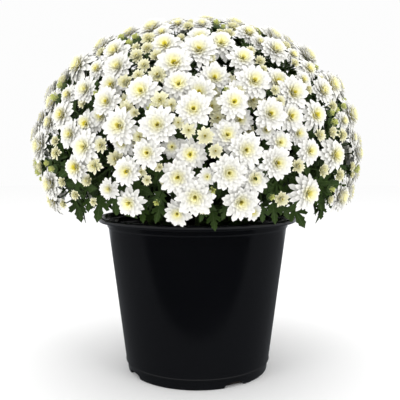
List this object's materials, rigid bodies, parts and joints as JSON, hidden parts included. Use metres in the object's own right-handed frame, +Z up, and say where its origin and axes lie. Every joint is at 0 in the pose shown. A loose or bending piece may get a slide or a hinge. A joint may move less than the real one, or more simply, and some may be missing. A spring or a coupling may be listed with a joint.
{
  "type": "pot chrysanthemum",
  "caption": "Round cushion of small cream double chrysanthemum blooms, half-open heads and buds over lobed leaves, growing in a tapered black nursery pot.",
  "frame": {"origin": "middle of the pot's flat underside, on the surface that it stands on", "axes": "+Z up through the plant, -Y towards the plant's front, +X to the front's right"},
  "size_m": [0.4206, 0.4204, 0.4535],
  "materials": {
    "pot": "glossy black moulded plastic with soft highlights",
    "soil": "dark, damp, crumbly potting mix",
    "leaves": "matt dark green leaves, paler along the veins",
    "petals": "soft creamy white petals, pale yellow towards the middle"
  },
  "bodies": {
    "root": {"pot": "pot", "soil": "soil", "leafy_stem_01": "leaves", "leafy_stem_02": "leaves", "leafy_stem_03": "leaves", "leafy_stem_04": "leaves", "leafy_stem_05": "leaves", "leafy_stem_06": "leaves", "leafy_stem_07": "leaves", "leafy_stem_08": "leaves", "leafy_stem_09": "leaves", "leafy_stem_10": "leaves", "leafy_stem_11": "leaves", "leafy_stem_12": "leaves", "leafy_stem_13": "leaves", "leafy_stem_14": "leaves", "leafy_stem_15": "leaves", "leafy_stem_16": "leaves", "leafy_stem_17": "leaves", "leafy_stem_18": "leaves", "leafy_stem_19": "leaves", "spray_01": "petals", "spray_02": "petals", "spray_03": "petals", "spray_04": "petals", "spray_05": "petals", "spray_06": "petals", "spray_07": "petals", "spray_08": "petals", "spray_09": "petals", "spray_10": "petals", "spray_11": "petals", "spray_12": "petals", "spray_13": "petals", "spray_14": "petals", "spray_15": "petals", "spray_16": "petals", "spray_17": "petals", "spray_18": "petals", "spray_19": "petals", "spray_20": "petals", "spray_21": "petals", "spray_22": "petals", "spray_23": "petals", "spray_24": "petals", "spray_25": "petals", "spray_26": "petals", "spray_27": "petals", "spray_28": "petals", "spray_29": "petals", "spray_30": "petals", "spray_31": "petals", "spray_32": "petals", "spray_33": "petals", "spray_34": "petals", "spray_35": "petals", "spray_36": "petals", "spray_37": "petals", "spray_38": "petals"}
  },
  "joints": []
}
